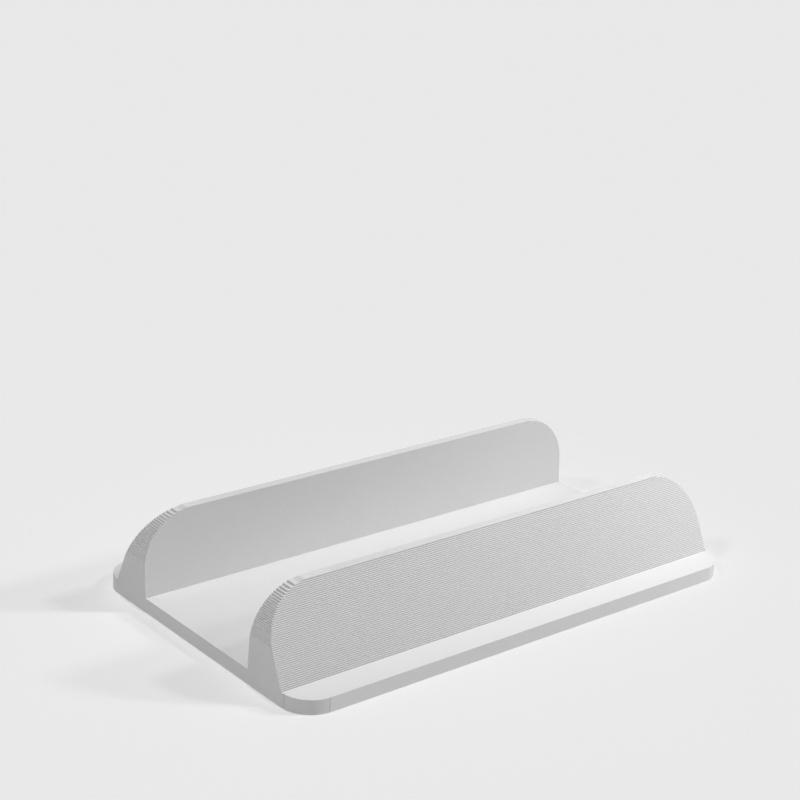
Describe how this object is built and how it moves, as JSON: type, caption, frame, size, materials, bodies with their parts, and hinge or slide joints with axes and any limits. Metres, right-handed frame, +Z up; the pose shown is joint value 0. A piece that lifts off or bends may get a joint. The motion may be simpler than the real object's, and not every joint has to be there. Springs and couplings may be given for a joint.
{
  "type": "mini pc stand",
  "caption": "Low one-piece printed desk stand: thin base plate with rounded corners and two long tapering walls that hold a small computer on its edge.",
  "frame": {"origin": "centre of the underside of the base plate", "axes": "+X along the walls, +Y across the channel, +Z up"},
  "size_m": [0.11, 0.068, 0.0195],
  "materials": {
    "print": "matt printed plastic with fine layer lines"
  },
  "bodies": {
    "root": {"stand": "print"}
  },
  "joints": []
}
